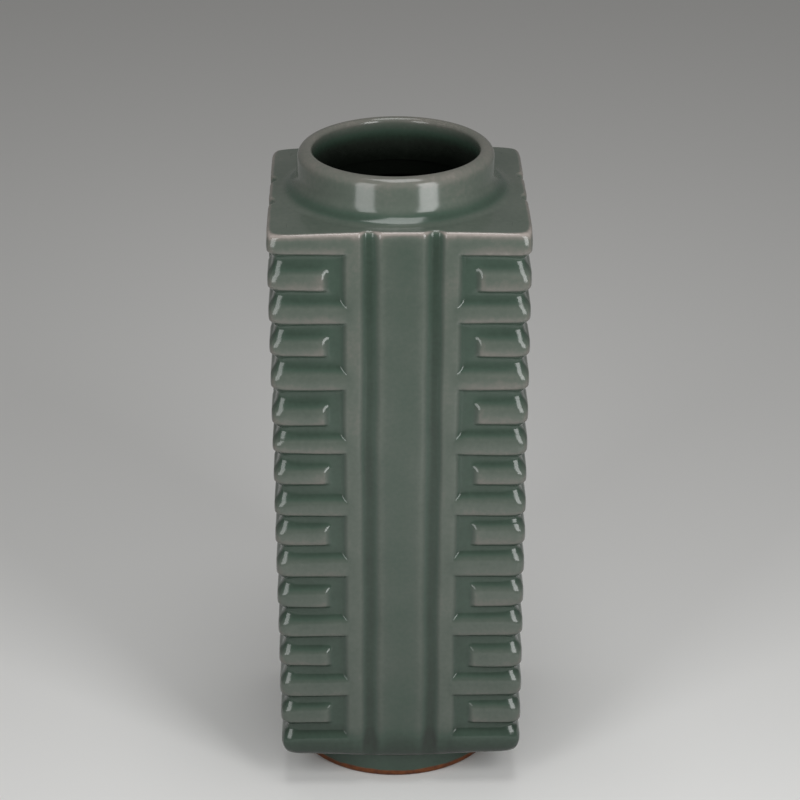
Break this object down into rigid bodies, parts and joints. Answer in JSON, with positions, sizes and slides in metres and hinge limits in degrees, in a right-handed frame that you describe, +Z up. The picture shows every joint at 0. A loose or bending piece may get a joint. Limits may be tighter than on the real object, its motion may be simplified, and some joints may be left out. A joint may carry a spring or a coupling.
{
  "type": "square vase",
  "caption": "Square celadon vase in cong form: tapering body with raised ribs on every side, short round neck and round foot ring.",
  "frame": {"origin": "on the middle line of the body, at the bottom of the vase", "axes": "+Z up along the vase's middle line, -Y out of the front wall"},
  "size_m": [0.11, 0.11, 0.2852],
  "materials": {
    "celadon_glaze": "glossy grey-green celadon glaze, thin and paler on the edges",
    "foot_clay": "celadon glaze that stops at a bare orange-brown clay rim"
  },
  "bodies": {
    "root": {"front_wall": "celadon_glaze", "right_wall": "celadon_glaze", "back_wall": "celadon_glaze", "left_wall": "celadon_glaze", "shoulder_slab": "celadon_glaze", "neck_collar": "celadon_glaze", "base_slab": "celadon_glaze", "foot_ring": "foot_clay"}
  },
  "joints": []
}
